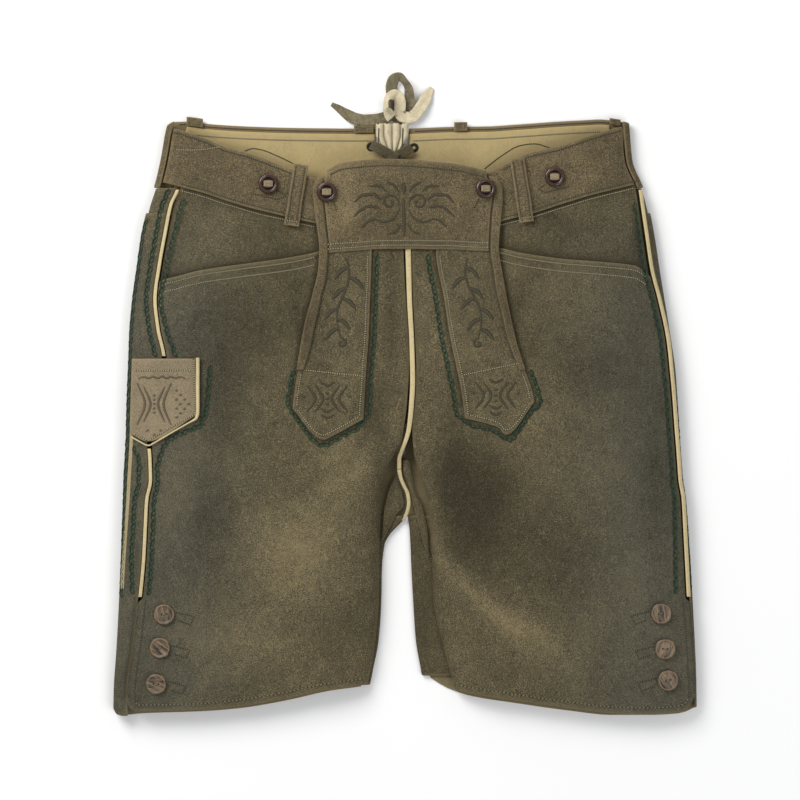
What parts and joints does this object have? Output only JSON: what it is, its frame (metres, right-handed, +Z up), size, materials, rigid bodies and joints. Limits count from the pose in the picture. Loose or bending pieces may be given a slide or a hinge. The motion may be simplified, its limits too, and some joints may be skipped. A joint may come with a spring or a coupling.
{
  "type": "lederhosen",
  "caption": "Short suede leather breeches lying flat, front up: buttoned front flap with embroidered strips, piped seams, laced back waist and buttoned leg vents.",
  "frame": {"origin": "centre of the garment's outline on the surface it lies on", "axes": "+Z up from that surface, towards the garment's front; +Y from the hems to the waist; +X towards the wearer's left"},
  "size_m": [0.5438, 0.5991, 0.0298],
  "materials": {
    "suede": "olive brown brushed suede, mottled, with a short nap",
    "pocket_suede": "lighter taupe suede",
    "lining": "cream suede lining, soft",
    "piping": "smooth pale leather piping",
    "lace": "soft suede lace, darker outside, cream inside",
    "gusset": "thin cream leather, pleated",
    "horn": "turned stag horn, brown with pale streaks",
    "ring_button": "polished dark red-brown ring with a dull middle"
  },
  "bodies": {
    "root": {"belt_loop_back_1": "suede", "belt_loop_back_2": "suede", "belt_loop_back_3": "suede", "belt_loop_back_4": "suede", "belt_loop_front_left": "suede", "belt_loop_front_right": "suede", "crotch_fork_left": "suede", "crotch_fork_right": "suede", "crotch_piping": "piping", "flap_binding_left": "suede", "flap_binding_right": "suede", "flap_button_left": "ring_button", "flap_button_right": "ring_button", "flap_panel": "suede", "flap_strip_left": "suede", "flap_strip_right": "suede", "front_left": "suede", "front_right": "suede", "front_seam_piping": "piping", "horn_button_left_1": "horn", "horn_button_left_2": "horn", "horn_button_left_3": "horn", "horn_button_right_1": "horn", "horn_button_right_2": "horn", "horn_button_right_3": "horn", "inner_edge_left": "suede", "inner_edge_right": "suede", "knife_pocket": "pocket_suede", "knife_pocket_piping": "piping", "lace_cross_left": "lace", "lace_cross_right": "lace", "lace_gusset": "gusset", "lining_left": "lining", "lining_right": "lining", "pocket_facing_left": "suede", "pocket_facing_right": "suede", "seat_left": "suede", "seat_right": "suede", "side_piping_left": "piping", "side_piping_right_lower": "piping", "side_piping_right_upper": "piping", "tie_long": "lace", "tie_short": "lace", "waist_button_left": "ring_button", "waist_button_right": "ring_button", "waistband_back_left": "suede", "waistband_back_right": "suede", "waistband_front_left": "suede", "waistband_front_right": "suede", "yoke_left": "suede", "yoke_right": "suede"}
  },
  "joints": []
}
